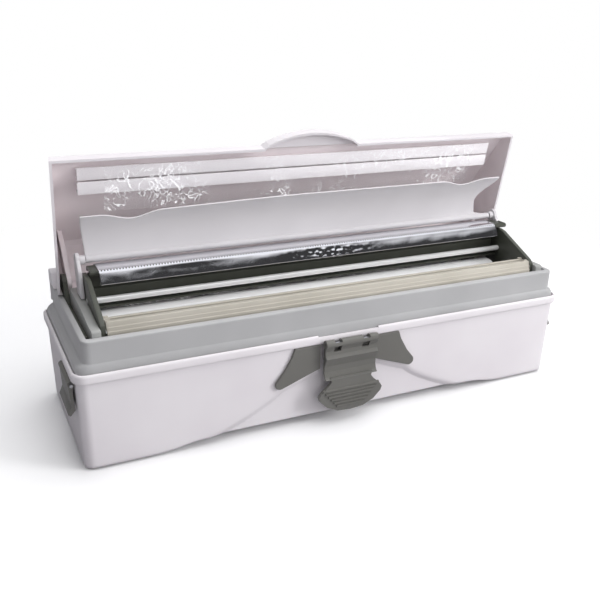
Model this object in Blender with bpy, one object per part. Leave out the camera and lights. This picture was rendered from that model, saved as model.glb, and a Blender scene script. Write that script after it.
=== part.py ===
"""Twin-roll dispenser for cling film and foil, standing open on its rubber feet.

Lengths are in millimetres and turned into metres when a mesh is made.
X runs along the rolls, Y to the back, Z up. The origin is on the floor, under the middle of the whole.
Sizes here are counted from the middle of the tub, DROP above the floor. ZERO is where that point is placed.
"""
import math

import bmesh
import bpy
from mathutils import Matrix, Vector

MM = 0.001
DROP = 6.0                     # the floor lies this far below the zero of the heights here
ZERO = (0.0, 5.1, DROP)         # the latch stands out in front, so the tub lies this far to the back
GAP = 0.3                      # left between two pieces that touch

# ---- overall sizes -------------------------------------------------------
LENGTH = 530.0                 # rim of the tub, along X
WIDTH = 176.0                  # rim of the tub, along Y
RIM_Z = 89.0                   # top of the tub's lip
COLLAR_Z = 117.0               # top of the grey collar
FOOT_RISE = 1.0                # how far the rubber feet stand out
ROLL_WIDTH = 448.0             # width of both rolls of film

HALF_X = LENGTH / 2
HALF_Y = WIDTH / 2
WALL = 3.0                     # tub wall
LIP = 3.0                      # how far the lip stands out from the tub wall

# ---- tub -----------------------------------------------------------------
TUB_TOP_X = HALF_X - LIP
TUB_TOP_Y = HALF_Y - LIP
SIDE_DRAFT = 2.0
FRONT_DRAFT = 1.0
TUB_CORNER = 10.0
LEDGE_Z = RIM_Z - 3.0
ARCH_RISE = 6.0                # the underside rises between the two feet
ARCH_HALF = 152.0
ARCH_END = 200.0
SCOOP_DEPTH = 4.0              # finger scoop around the latch

# ---- collar --------------------------------------------------------------
COLLAR_X = HALF_X - 10.25
COLLAR_Y = HALF_Y - 5.5
COLLAR_IN_X = HALF_X - 15.6
COLLAR_IN_Y = HALF_Y - 12.6
BEAD_Z = 97.0
SKIRT_Z = 80.5                 # bottom of the skirt that drops into the tub

# ---- cassette ------------------------------------------------------------
CHEEK_IN = 231.5
CHEEK_OUT = 244.5
CHEEK_SCREW = (-38.0, 104.0)
SPAN = CHEEK_IN - GAP          # pieces that fit between the cheeks
FOIL_AXIS = (-12.0, 92.0)
FOIL_R = 23.0
FILM_AXIS = (48.0, 70.0)
FILM_R = 24.0
CORE_R = 16.0
SPIGOT_R = 6.0
ROLL_MID = -2.0
ROD_AXIS = (-14.0, 127.0)
ROD_R = 3.0
TRAY_R = 27.0
BEAM_Z = 155.0                 # top of the rear beam
FRAME_IN = CHEEK_OUT + GAP
FRAME_OUT = COLLAR_IN_X - GAP

# ---- lid -----------------------------------------------------------------
HINGE = (41.0, 128.6)
LID_OPEN = 80.0                # degrees from closed to open
LID_X = 255.0
LID_FRONT_Y = -86.0
LID_RIM_Z = COLLAR_Z + GAP
LID_FRONT_H = 12.0
LID_SLOPE = math.radians(25.0)
LID_CREST_Y = 20.0
LID_WALL = 2.5
LID_DRAFT = math.tan(math.radians(8.0))
PIN_R = 3.0

# ---- divider flap --------------------------------------------------------
FLAP_AXIS = (8.0, 160.0)
FLAP_SPAN = 47.0
FLAP_BOW = 6.3
FLAP_T = 1.6
FLAP_LEAN = 100.0              # degrees of the open flap's chord, from +Y
FLAP_HALF = 230.6

# ---- latch and clips -----------------------------------------------------
LATCH_X = -3.0
LATCH_AXIS = (-92.7, 81.0)
LATCH_HALF = 28.5
CLIP_AXIS = (265.0, 77.0)
CLIP_Y = (-74.0, -28.0)


# ---- helpers -------------------------------------------------------------
def clear_scene():
    for item in list(bpy.data.objects):
        bpy.data.objects.remove(item, do_unlink=True)


def material(name, colour, roughness=0.5, metallic=0.0, alpha=1.0):
    made = bpy.data.materials.new(name)
    made.use_nodes = True
    shader = made.node_tree.nodes["Principled BSDF"]
    linear = [channel ** 2.2 for channel in colour]
    shader.inputs["Base Color"].default_value = (*linear, 1.0)
    shader.inputs["Roughness"].default_value = roughness
    shader.inputs["Metallic"].default_value = metallic
    shader.inputs["Alpha"].default_value = alpha
    made.diffuse_color = (*linear, 1.0)
    return made


def finish(bm, name, look, origin=(0.0, 0.0, 0.0), smooth=True):
    """Turn a bmesh in millimetres into an object whose origin is at the given point."""
    bmesh.ops.recalc_face_normals(bm, faces=bm.faces)
    bmesh.ops.transform(bm, matrix=Matrix.Translation(-Vector(origin)), verts=bm.verts)
    bmesh.ops.transform(bm, matrix=Matrix.Scale(MM, 4), verts=bm.verts)
    mesh = bpy.data.meshes.new(name)
    bm.to_mesh(mesh)
    bm.free()
    mesh.materials.append(look)
    made = bpy.data.objects.new(name, mesh)
    bpy.context.collection.objects.link(made)
    made.location = (Vector(origin) + Vector(ZERO)) * MM
    if smooth:
        mesh.shade_smooth()
        mesh.set_sharp_from_angle(angle=math.radians(35.0))
    return made


def turned(axis, along, first, second):
    """A point from its place along an axis and its two coordinates across it."""
    if axis == "X":
        return (along, first, second)
    if axis == "Y":
        return (first, along, second)
    return (first, second, along)


def add_prism(bm, axis, outline, low, high):
    """Extrude a closed outline, given across the axis, from low to high."""
    corners = [bm.verts.new(turned(axis, low, *point)) for point in outline]
    face = bm.faces.new(corners)
    swept = bmesh.ops.extrude_face_region(bm, geom=[face])
    moved = [item for item in swept["geom"] if isinstance(item, bmesh.types.BMVert)]
    step = Vector(turned(axis, high - low, 0.0, 0.0))
    bmesh.ops.translate(bm, vec=step, verts=moved)


def prism(name, look, axis, outline, low, high, origin=(0.0, 0.0, 0.0), smooth=True):
    bm = bmesh.new()
    add_prism(bm, axis, outline, low, high)
    return finish(bm, name, look, origin, smooth)


def arc(centre, radius, start, stop, steps):
    """Points on an arc, with the angles in degrees."""
    points = []
    for step in range(steps + 1):
        angle = math.radians(start + (stop - start) * step / steps)
        points.append((centre[0] + radius * math.cos(angle), centre[1] + radius * math.sin(angle)))
    return points


def circle(centre, radius, steps=32):
    return arc(centre, radius, 0.0, 360.0, steps)[:-1]


def rectangle(low_a, low_b, high_a, high_b):
    return [(low_a, low_b), (high_a, low_b), (high_a, high_b), (low_a, high_b)]


def strip(points, thickness):
    """The closed outline of a bent sheet with its middle line on the points."""
    left, right = [], []
    for index, point in enumerate(points):
        before = Vector(points[max(index - 1, 0)])
        after = Vector(points[min(index + 1, len(points) - 1)])
        along = (after - before).normalized()
        across = Vector((-along.y, along.x)) * thickness / 2
        left.append(tuple(Vector(point) + across))
        right.append(tuple(Vector(point) - across))
    return left + right[::-1]


def block(name, look, low, high, origin=(0.0, 0.0, 0.0), smooth=False):
    return prism(name, look, "X", rectangle(low[1], low[2], high[1], high[2]), low[0], high[0],
                 origin, smooth)


def boolean(target, others, operation):
    """Cut the others out of the target, or join them on, and drop them."""
    for other in others:
        step = target.modifiers.new("shape", "BOOLEAN")
        step.operation = operation
        step.solver = "EXACT"
        step.object = other
    bpy.context.view_layer.update()
    graph = bpy.context.evaluated_depsgraph_get()
    shaped = bpy.data.meshes.new_from_object(target.evaluated_get(graph))
    target.modifiers.clear()
    target.data = shaped
    for other in others:
        bpy.data.objects.remove(other, do_unlink=True)
    target.data.shade_smooth()
    target.data.set_sharp_from_angle(angle=math.radians(35.0))
    return target


def soften(target, width, segments=2):
    """Round the edges that are sharper than forty degrees."""
    step = target.modifiers.new("soft edges", "BEVEL")
    step.width = width * MM
    step.segments = segments
    step.limit_method = "ANGLE"
    step.angle_limit = math.radians(40.0)
    return target


def hole(look, axis, centre, radius, low, high, steps=32):
    return prism("hole", look, axis, circle(centre, radius, steps), low, high)


def ease(value):
    """Rise smoothly from 0 to 1."""
    held = min(max(value, 0.0), 1.0)
    return held * held * (3.0 - 2.0 * held)


# ---- tub -----------------------------------------------------------------
def under_z(x):
    """Height of the tub's underside, which rises between its two feet."""
    return FOOT_RISE - DROP + ARCH_RISE * ease((ARCH_END - abs(x)) / (ARCH_END - ARCH_HALF))


def scoop(x, z):
    """How deep the front wall is pressed in around and below the latch."""
    side = abs(x - LATCH_X)
    channel = ease((31.0 - side) / 3.0) * ease((80.0 - z) / 6.0)
    if side < 71.0:
        edge = 53.0 - 0.36 * max(side - 31.0, 0.0)
    else:
        edge = 38.6 - 40.0 * (min(side - 71.0, 84.0) / 84.0) ** 0.75
    return SCOOP_DEPTH * max(channel, ease((edge - z) / 8.0))


def tub_columns():
    fine = [step * 4.0 for step in range(-41, 42)]
    return [-238.0, -220.0, -202.0, -190.0, -178.0] + fine + [178.0, 190.0, 202.0, 220.0, 238.0]


def tub_ring(half_x, half_y, radius, height, pressed=True):
    """One closed ring of the tub: front wall, corner, back wall, corner."""
    ring = []
    columns = tub_columns()
    for x in columns:
        z = height(x)
        dent = scoop(x, z) if pressed else 0.0
        ring.append((x, -half_y + dent, z))
    edge_x, edge_y = half_x - radius, half_y - radius
    right = arc((edge_x, -edge_y), radius, -90.0, 0.0, 5) + arc((edge_x, edge_y), radius, 0.0, 90.0, 5)
    ring += [(x, y, height(x)) for x, y in right]
    ring += [(x, half_y, height(x)) for x in reversed(columns)]
    left = arc((-edge_x, edge_y), radius, 90.0, 180.0, 5) + arc((-edge_x, -edge_y), radius, 180.0, 270.0, 5)
    ring += [(x, y, height(x)) for x, y in left]
    return ring


def add_loft(bm, rings):
    """Join rings of equal length with quads, and return the vertices of each ring."""
    made = [[bm.verts.new(point) for point in ring] for ring in rings]
    count = len(rings[0])
    for lower, upper in zip(made, made[1:]):
        for index in range(count):
            following = (index + 1) % count
            bm.faces.new((lower[index], lower[following], upper[following], upper[index]))
    return made


def add_floor(bm, ring):
    """Close a tub ring from front to back, so that the floor follows the arch."""
    count = len(tub_columns())
    corner = 12
    front = ring[:count]
    back = ring[count + corner:2 * count + corner][::-1]
    for index in range(count - 1):
        bm.faces.new((front[index], back[index], back[index + 1], front[index + 1]))
    bm.faces.new([front[-1]] + ring[count:count + corner] + [back[-1]])
    bm.faces.new([back[0]] + ring[2 * count + corner:] + [front[0]])


def make_tub(look):
    def level(share):
        return lambda x: under_z(x) + share * (80.0 - under_z(x))

    def outside(share, inset, thickness=0.0):
        z = share * 80.0
        half_x = TUB_TOP_X - SIDE_DRAFT * (1 - z / 80.0) - inset - thickness
        half_y = TUB_TOP_Y - FRONT_DRAFT * (1 - z / 80.0) - inset - thickness
        return half_x, half_y, TUB_CORNER - thickness * 0.6

    shares = [0.045, 0.12, 0.2, 0.28, 0.36, 0.44, 0.5, 0.56, 0.62, 0.68, 0.78, 0.88, 1.0]
    rings = [tub_ring(*outside(0.0, 3.5), level(0.0)), tub_ring(*outside(0.02, 1.1), level(0.015))]
    rings += [tub_ring(*outside(share, 0.0), level(share)) for share in shares]
    for z, inset in ((81.5, 0.0), (87.8, 0.0), (RIM_Z, 0.9)):
        rings.append(tub_ring(HALF_X - inset, HALF_Y - inset, 13.0 - inset, lambda x, z=z: z, False))
    rings.append(tub_ring(HALF_X - 2.4, HALF_Y - 2.4, 11.0, lambda x: RIM_Z, False))
    rings.append(tub_ring(HALF_X - 2.6, HALF_Y - 2.6, 11.0, lambda x: LEDGE_Z, False))
    rings.append(tub_ring(TUB_TOP_X - WALL, TUB_TOP_Y - WALL, 10.0, lambda x: LEDGE_Z, False))
    for share in reversed(shares[1:]):
        rings.append(tub_ring(*outside(share, 0.0, WALL), level(share)))
    rings.append(tub_ring(*outside(0.045, 0.0, WALL), lambda x: under_z(x) + 5.0))
    rings.append(tub_ring(*outside(0.045, 2.0, WALL), lambda x: under_z(x) + 3.0))
    bm = bmesh.new()
    made = add_loft(bm, rings)
    add_floor(bm, made[0])
    add_floor(bm, made[-1])
    tub = finish(bm, "tub", look)
    notch = block("notch", look, (LATCH_X - 33.0, -90.0, 87.2), (LATCH_X + 33.0, -85.0, 91.0))
    pockets = [hole(look, "Z", spot, 9.3, -DROP - 1.0, 2.3 - DROP, 24) for spot in foot_spots()]
    lugs = []
    for side in (-1, 1):
        for low in (CLIP_Y[0] - 3.6, CLIP_Y[1] + GAP):
            ends = sorted((side * 260.5, side * 268.2))
            lug = block("lug", look, (ends[0], low, 73.0), (ends[1], low + 3.3, 79.2))
            centre = (side * CLIP_AXIS[0], CLIP_AXIS[1])
            bore = hole(look, "Y", centre, 1.5 + GAP / 2, low - 1.0, low + 4.3, 16)
            lugs.append(boolean(lug, [bore], "DIFFERENCE"))
    boolean(tub, lugs, "UNION")
    return boolean(tub, [notch] + pockets, "DIFFERENCE")


def foot_spots():
    return [(side * 232.0, depth * 62.0) for side in (-1, 1) for depth in (-1, 1)]


def make_feet(look):
    for number, spot in enumerate(foot_spots(), 1):
        prism(f"rubber_foot_{number}", look, "Z", circle(spot, 9.0, 24), -DROP, 2.0 - DROP)


# ---- collar and what stands in it ----------------------------------------
def round_ring(half_x, half_y, radius, z):
    edge_x, edge_y = half_x - radius, half_y - radius
    ring = []
    for side_x, side_y, start in ((1, -1, -90.0), (1, 1, 0.0), (-1, 1, 90.0), (-1, -1, 180.0)):
        centre = (side_x * edge_x, side_y * edge_y)
        ring += [(x, y, z) for x, y in arc(centre, radius, start, start + 90.0, 6)]
    return ring


def make_collar(look):
    flare_x, flare_y = HALF_X - 3.4 - COLLAR_X, HALF_Y - 3.4 - COLLAR_Y
    bead = [(LEDGE_Z + GAP, 0.9), (87.6, 1.0), (90.0, 1.0), (92.8, 0.86), (95.2, 0.5), (96.6, 0.14),
            (BEAD_Z, 0.0)]
    rings = [round_ring(COLLAR_X + flare_x * share, COLLAR_Y + flare_y * share, 9.0, z)
             for z, share in bead]
    rings.append(round_ring(COLLAR_X, COLLAR_Y, 8.0, COLLAR_Z - 2.0))
    rings.append(round_ring(COLLAR_X - 0.6, COLLAR_Y - 0.6, 7.6, COLLAR_Z - 0.7))
    rings.append(round_ring(COLLAR_X - 2.0, COLLAR_Y - 2.0, 7.0, COLLAR_Z))
    rings.append(round_ring(COLLAR_IN_X, COLLAR_IN_Y, 3.0, COLLAR_Z))
    rings.append(round_ring(COLLAR_IN_X, COLLAR_IN_Y, 3.0, 84.0))
    skirt_x, skirt_y = TUB_TOP_X - WALL - 0.6, TUB_TOP_Y - WALL - 0.6
    rings.append(round_ring(skirt_x - 2.5, skirt_y - 2.5, 8.0, 84.0))
    rings.append(round_ring(skirt_x - 2.5, skirt_y - 2.5, 8.0, SKIRT_Z))
    rings.append(round_ring(skirt_x, skirt_y, 11.0, SKIRT_Z))
    rings.append(round_ring(skirt_x, skirt_y, 11.0, LEDGE_Z + GAP))
    bm = bmesh.new()
    add_loft(bm, rings + [rings[0]])
    bmesh.ops.remove_doubles(bm, verts=bm.verts, dist=0.001)
    return finish(bm, "collar", look)


def make_tray(look):
    """Thin moulding with one trough under each roll."""
    middle = [(-COLLAR_IN_Y + GAP, 86.0), (-46.0, 84.0)]
    middle += arc(FOIL_AXIS, TRAY_R, 197.0, 340.0, 16)
    middle += arc(FILM_AXIS, TRAY_R, 160.0, 358.0, 20)
    middle += [(COLLAR_IN_Y - 1.0 - GAP, 84.0)]
    return prism("roll_tray", look, "X", strip(middle, 2.0), -SPAN, SPAN)


def make_cheek(side, look):
    """End plate of the cassette, with blind seats for the foil plug and the guide rod."""
    back = 4.0
    outline = [(-COLLAR_IN_Y + GAP, 89.0), (-46.0, 89.0), (-30.0, 76.0), (back, 76.0), (back, 149.2),
               (-18.0, 149.2), (-68.5, 127.0), (-COLLAR_IN_Y + GAP, 127.0)]
    low, high = sorted((side * CHEEK_IN, side * CHEEK_OUT))
    name = "cassette_cheek_" + ("right" if side > 0 else "left")
    cheek = prism(name, look, "X", outline, low, high, smooth=False)
    seat = sorted((side * (CHEEK_IN - 1.0), side * (CHEEK_IN + 7.0)))
    rod_seat = sorted((side * (CHEEK_IN - 1.0), side * (CHEEK_IN + 5.0)))
    screw_seat = sorted((side * (CHEEK_IN - 1.0), side * (CHEEK_OUT + 1.0)))
    cutters = [hole(look, "X", FOIL_AXIS, SPIGOT_R + GAP, *seat),
               hole(look, "X", ROD_AXIS, ROD_R + GAP, *rod_seat, 24),
               hole(look, "X", CHEEK_SCREW, 1.5 + GAP, *screw_seat, 16)]
    return boolean(cheek, cutters, "DIFFERENCE")


def turned_piece(name, look, axis, centre, steps, sides=32, origin=(0.0, 0.0, 0.0)):
    """A solid of revolution from its (place along the axis, radius) steps, closed at both ends."""
    rings = [[turned(axis, along, *point) for point in circle(centre, radius, sides)]
             for along, radius in steps]
    bm = bmesh.new()
    made = add_loft(bm, rings)
    bm.faces.new(made[0])
    bm.faces.new(made[-1])
    return finish(bm, name, look, origin)


def make_screw(name, look, axis, centre, under_head, tip, head_r=3.0, shank_r=1.5):
    """A pan head and its shank as one closed stepped body."""
    towards = math.copysign(1.0, tip - under_head)
    top = under_head - towards * 1.8
    steps = [(top, head_r - 0.6), (top + towards * 0.6, head_r), (under_head, head_r),
             (under_head, shank_r), (tip, shank_r)]
    return turned_piece(name, look, axis, centre, steps, 16)


def make_cheek_screw(side, look):
    """Screw through the cheek into the side frame, with its head inside."""
    name = "cheek_screw_" + ("right" if side > 0 else "left")
    make_screw(name, look, "X", CHEEK_SCREW, side * (CHEEK_IN - GAP), side * (FRAME_OUT - 0.5))


def make_side_frame(side, look):
    """Plate behind each cheek that carries the film roll and the lid's pivot."""
    outline = [(-60.0, 84.5), (-60.0, 112.0), (24.0, 112.0)]
    outline += arc(HINGE, 9.0, 170.0, 20.0, 10)
    outline += [(58.0, 112.0), (66.0, 100.0), (66.0, 62.0), (56.0, 54.0), (34.0, 54.0), (18.0, 84.5)]
    low, high = sorted((side * FRAME_IN, side * FRAME_OUT))
    name = "side_frame_" + ("right" if side > 0 else "left")
    frame = prism(name, look, "X", outline, low, high, smooth=False)
    seat = (low - 1.0, high + 1.0)
    cutters = [hole(look, "X", FILM_AXIS, SPIGOT_R + GAP, *seat),
               hole(look, "X", HINGE, PIN_R + GAP / 2, *seat, 24),
               hole(look, "X", CHEEK_SCREW, 1.5 + GAP / 2, *seat, 16)]
    return boolean(frame, cutters, "DIFFERENCE")


def make_beam(rail_look, channel_look):
    """Rear beam that the foil is drawn over: a deep channel and the rail on top of it."""
    web = [(-12.0, 118.0), (1.5, 118.0), (1.5, 149.7), (-0.5, 149.7), (-0.5, 136.0), (-3.0, 134.5),
           (-3.0, 121.0), (-12.0, 120.0)]
    channel = prism("beam_channel", channel_look, "X", web, -SPAN, SPAN, smooth=False)
    nose = arc((-11.5, 152.5), 2.5, 250.0, 90.0, 6)
    rail = nose + [(4.5, BEAM_Z), (6.5, 153.5), (6.5, 150.0), (4.5, 150.0), (4.5, 152.6), (-6.0, 152.6),
                   (-6.0, 150.0)]
    top = prism("beam_rail", rail_look, "X", rail, -CHEEK_OUT, CHEEK_OUT, smooth=True)
    return [channel, top]


# ---- blade and its guard -------------------------------------------------
BED = (-68.0, -52.4, 100.0, 113.0)     # low and high Y, low and high Z
BLADE_Y = (-60.0, -59.2)
SCREW_ROW = [-180.0, 0.0, 180.0]


def make_blade_bed(look):
    """Bar between the cheeks, stepped at the back for the blade and its clamp."""
    low_y, high_y, low_z, high_z = BED
    step_y = BLADE_Y[0] - GAP
    outline = [(low_y, low_z), (high_y, low_z), (high_y, 104.0), (step_y, 104.0), (step_y, high_z),
               (low_y, high_z)]
    bed = prism("blade_bed", look, "X", outline, -SPAN, SPAN, smooth=False)
    holes = [hole(look, "Y", (x, 108.5), 1.5 + GAP, -66.0, step_y + 1.0, 16) for x in SCREW_ROW]
    return boolean(bed, holes, "DIFFERENCE")


def make_blade(look):
    """Serrated strip: a saw edge cut along its top."""
    pitch, root, tip = 5.0, 120.0, 123.2
    half = 227.5
    edge = []
    for index in range(int(2 * half / pitch)):
        start = -half + index * pitch
        edge += [(start, root), (start + pitch / 2, tip)]
    outline = [(-half, 104.3)] + edge + [(half, root), (half, 104.3)]
    blade = prism("blade", look, "Y", outline, *BLADE_Y, smooth=False)
    holes = [hole(look, "Y", (x, 108.5), 1.5 + GAP, -61.0, -58.0, 16) for x in SCREW_ROW]
    return boolean(blade, holes, "DIFFERENCE")


def make_blade_clamp(look):
    low, high = BLADE_Y[1] + GAP, -55.4
    clamp = prism("blade_clamp", look, "X", rectangle(low, 104.3, high, 112.4), -226.0, 226.0, smooth=False)
    holes = [hole(look, "Y", (x, 108.5), 1.5 + GAP, low - 1.0, high + 1.0, 16) for x in SCREW_ROW]
    return boolean(clamp, holes, "DIFFERENCE")


def make_blade_screws(look):
    for number, x in enumerate(SCREW_ROW, 1):
        make_screw(f"blade_screw_{number}", look, "Y", (x, 108.5), -55.1, -65.0)


def make_guard(look):
    """Stepped cover over the blade, open below and slit along its top."""
    top = 127.0
    outline = [(-72.2, 115.2), (-69.4, 126.0), (-68.4, top), (-66.6, top), (-66.0, 126.0), (-57.6, 126.0),
               (-57.2, 125.2), (-53.2, 125.2), (-52.8, 124.2), (-49.8, 124.2), (-48.6, 121.0),
               (-48.6, 115.2), (-50.2, 115.2), (-50.2, 121.6), (-67.8, 122.4), (-70.3, 115.2)]
    guard = prism("blade_guard", look, "X", outline, -230.5, 230.5, smooth=False)
    slit = block("slit", look, (-229.0, -60.8, 118.0), (229.0, -58.4, 130.0))
    return boolean(guard, [slit], "DIFFERENCE")


def make_guard_springs(look):
    """Two small compression springs between the blade bed and the guard."""
    turns, coil_r, wire_r, per_turn = 4, 1.9, 0.35, 12
    low, high = BED[3] + GAP + wire_r, 121.2
    for hand, x in (("left", -150.0), ("right", 150.0)):
        rings = []
        for step in range(turns * per_turn + 1):
            angle = 2 * math.pi * step / per_turn
            outward = Vector((math.cos(angle), math.sin(angle), 0.0))
            middle = Vector((x, -64.8, low + (high - low) * step / (turns * per_turn))) + outward * coil_r
            rings.append([tuple(middle + outward * first + Vector((0.0, 0.0, second)))
                          for first, second in circle((0.0, 0.0), wire_r, 6)])
        bm = bmesh.new()
        made = add_loft(bm, rings)
        bm.faces.new(made[0])
        bm.faces.new(made[-1])
        finish(bm, "guard_spring_" + hand, look)


# ---- rolls ---------------------------------------------------------------
def add_tube(bm, axis_yz, inner, outer, low, high, steps=40):
    """A tube along X as one closed body."""
    rings = []
    for radius, x in ((outer, low), (outer, high), (inner, high), (inner, low)):
        rings.append([(x, *point) for point in circle(axis_yz, radius, steps)])
    add_loft(bm, rings + [rings[0]])
    bmesh.ops.remove_doubles(bm, verts=bm.verts, dist=0.001)


def make_roll(name, axis_yz, radius, core_look, wound_look):
    low, high = ROLL_MID - ROLL_WIDTH / 2, ROLL_MID + ROLL_WIDTH / 2
    origin = (ROLL_MID, *axis_yz)
    bm = bmesh.new()
    add_tube(bm, axis_yz, CORE_R - 2.0, CORE_R, low, high)
    core = finish(bm, name + "_core", core_look, origin)
    bm = bmesh.new()
    add_tube(bm, axis_yz, CORE_R + GAP, radius, low + 1.0, high - 1.0)
    wound = finish(bm, name + "_roll", wound_look, origin)
    return [core, wound]


def make_plug(name, axis_yz, side, spigot_end, look):
    """Plug pressed into the core's end, with the spigot that the roll turns on."""
    end = ROLL_MID + side * ROLL_WIDTH / 2
    steps = [(end - side * 18.0, CORE_R - 2.0 - GAP), (end + side * GAP, CORE_R - 2.0 - GAP),
             (end + side * GAP, CORE_R + 3.0), (end + side * 2.6, CORE_R + 3.0),
             (end + side * 3.2, CORE_R + 2.0), (end + side * 3.2, SPIGOT_R), (spigot_end, SPIGOT_R)]
    return turned_piece(name, look, "X", axis_yz, steps, origin=(end, *axis_yz))


def make_guide_rod(look):
    half = CHEEK_IN + 5.0 - GAP
    return prism("guide_rod", look, "X", circle(ROD_AXIS, ROD_R, 24), -half, half, (0.0, *ROD_AXIS))


def make_foil_tail(look):
    """The end of the foil, lying over the beam and hanging in front of it."""
    middle = [(9.6, 118.0), (9.0, 148.0), (7.4, 154.2), (4.6, BEAM_Z + 0.8), (-11.5, BEAM_Z + 0.8),
              (-17.0, 154.0), (-23.0, 150.0), (-29.5, 144.5)]
    return prism("foil_tail", look, "X", strip(middle, 0.6), -226.0, 222.0)


# ---- lid, modelled closed and then turned open ---------------------------
def crest(y):
    """Height of the lid's top over the collar's rim."""
    return LID_RIM_Z + LID_FRONT_H + math.tan(LID_SLOPE) * (y - LID_FRONT_Y)


def lid_outline(inset):
    """Side outline of the wedge-shaped lid, moved inward by the wall."""
    seat_r = HINGE[1] - LID_RIM_Z
    front = LID_FRONT_Y + inset
    rise = inset / math.cos(LID_SLOPE)
    low = LID_RIM_Z - (20.0 if inset else 0.0)
    back = HINGE[0] + seat_r - inset
    points = [(front, low), (front, crest(front) - rise - 1.2), (front + 1.2, crest(front + 1.2) - rise)]
    points += [(LID_CREST_Y - 6.0, crest(LID_CREST_Y - 6.0) - rise)]
    points += [(LID_CREST_Y - 1.0, crest(LID_CREST_Y) - rise - 0.8), (LID_CREST_Y + 4.0, 176.0 - rise)]
    points += [(back - 0.6, 144.0 - inset), (back, 141.0 - inset)]
    if inset:
        return points + [(back, low)]
    return points + arc(HINGE, seat_r, 0.0, -90.0, 8)


def add_wedge(bm, inset, half_x):
    """The lid's outline extruded along X with sides that lean inward."""
    before = len(bm.verts)
    add_prism(bm, "X", lid_outline(inset), -half_x, half_x)
    bm.verts.ensure_lookup_table()
    for vert in bm.verts[before:]:
        lean = max(vert.co.z - LID_RIM_Z, -20.0) * LID_DRAFT
        vert.co.x -= lean * math.copysign(1.0, vert.co.x)


def on_lid(name, look, bm, smooth=True):
    return finish(bm, name, look, (0.0, *HINGE), smooth)


def tab_outline(reach, half):
    """Plan of the finger tab: a shallow arch in front of the lid's edge."""
    points = []
    for step in range(17):
        share = -1.0 + step / 8.0
        bulge = math.cos(share * math.pi / 2) ** 0.7 if abs(share) < 1.0 else 0.0
        points.append((share * half, LID_FRONT_Y + 1.0 - reach * bulge))
    return points + [(half, LID_FRONT_Y + 3.0), (-half, LID_FRONT_Y + 3.0)]


def make_lid(look):
    bm = bmesh.new()
    add_wedge(bm, 0.0, LID_X)
    lid = on_lid("lid_shell", look, bm)
    bm = bmesh.new()
    add_prism(bm, "Z", tab_outline(15.0, 54.0), LID_RIM_Z, LID_RIM_Z + LID_FRONT_H - 1.0)
    tab = on_lid("tab", look, bm)
    boolean(lid, [tab], "UNION")
    bm = bmesh.new()
    add_wedge(bm, LID_WALL, LID_X - LID_WALL)
    inside = on_lid("inside", look, bm)
    bm = bmesh.new()
    add_prism(bm, "Z", tab_outline(12.5, 51.4), LID_RIM_Z - 5.0, LID_RIM_Z + LID_FRONT_H - 3.5)
    tab_inside = on_lid("tab_inside", look, bm)
    slots = []
    for side in (-1, 1):
        ends = sorted((side * (FRAME_IN - GAP), side * (FRAME_OUT + GAP)))
        bm = bmesh.new()
        add_prism(bm, "X", rectangle(44.0, 105.0, 60.0, 146.0), *ends)
        slots.append(on_lid("frame_slot", look, bm))
    return boolean(lid, [inside, tab_inside] + slots, "DIFFERENCE")


def under_lid(y):
    """Height of the lid's inner face, less a gap."""
    return crest(y) - LID_WALL / math.cos(LID_SLOPE) - GAP


def make_press_bar(name, low_y, high_y, look):
    """Rail under the lid's front edge: a flat face on two legs."""
    face = 127.8
    outline = [(low_y, face), (high_y, face), (high_y, face + 1.6), (high_y - 2.0, face + 1.6),
               (high_y - 2.0, under_lid(high_y - 2.0)), (high_y - 3.6, under_lid(high_y - 3.6)),
               (high_y - 3.6, face + 1.6), (low_y + 3.6, face + 1.6), (low_y + 3.6, under_lid(low_y + 3.6)),
               (low_y + 2.0, under_lid(low_y + 2.0)), (low_y + 2.0, face + 1.6), (low_y, face + 1.6)]
    bm = bmesh.new()
    add_prism(bm, "X", outline, -230.0, 230.0)
    return on_lid(name, look, bm, smooth=False)


def make_lid_arm(side, look):
    """Arm from the lid's top down to its pivot, inside the side frame."""
    low, high = sorted((side * (FRAME_IN - GAP - 4.2), side * (FRAME_IN - GAP)))
    outline = arc(HINGE, 7.0, 190.0, 350.0, 12) + [(43.0, 146.0), (34.0, 156.0)]
    outline += [(20.0, under_lid(12.0)), (12.0, under_lid(12.0)), (4.0, under_lid(4.0)), (14.0, 152.0)]
    bm = bmesh.new()
    add_prism(bm, "X", outline, low, high)
    arm = on_lid("lid_arm_" + ("right" if side > 0 else "left"), look, bm, smooth=False)
    cutter = hole(look, "X", HINGE, PIN_R + GAP / 2, low - 1.0, high + 1.0, 24)
    return boolean(arm, [cutter], "DIFFERENCE")


def make_film_tail(look):
    """The end of the cling film, stuck to the press bars and hanging from them."""
    middle = [(-79.0, 127.4), (-52.4, 127.4), (-47.0, 130.5), (-41.0, 131.0), (-34.0, 129.0)]
    bm = bmesh.new()
    add_prism(bm, "X", strip(middle, 0.4), -206.0, 210.0)
    return on_lid("film_tail", look, bm)


def make_lid_pin(side, look):
    ends = sorted((side * (FRAME_IN - GAP - 4.8), side * (FRAME_OUT - 0.2)))
    name = "lid_pin_" + ("right" if side > 0 else "left")
    return prism(name, look, "X", circle(HINGE, PIN_R, 24), *ends)


# ---- divider flap --------------------------------------------------------
def flap_middle():
    """Bowed section of the open flap, from its knuckle to its top edge."""
    radius = (FLAP_SPAN ** 2 / 4 + FLAP_BOW ** 2) / (2 * FLAP_BOW)
    half = math.degrees(math.asin(FLAP_SPAN / 2 / radius))
    chord = math.radians(FLAP_LEAN)
    along = Vector((math.cos(chord), math.sin(chord)))
    across = Vector((along.y, -along.x))
    points = []
    for step in range(13):
        angle = math.radians(-half + 2 * half * step / 12)
        run = FLAP_SPAN / 2 + radius * math.sin(angle)
        rise = radius * math.cos(angle) - (radius - FLAP_BOW)
        points.append(tuple(Vector(FLAP_AXIS) + along * run + across * rise))
    return points


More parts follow.
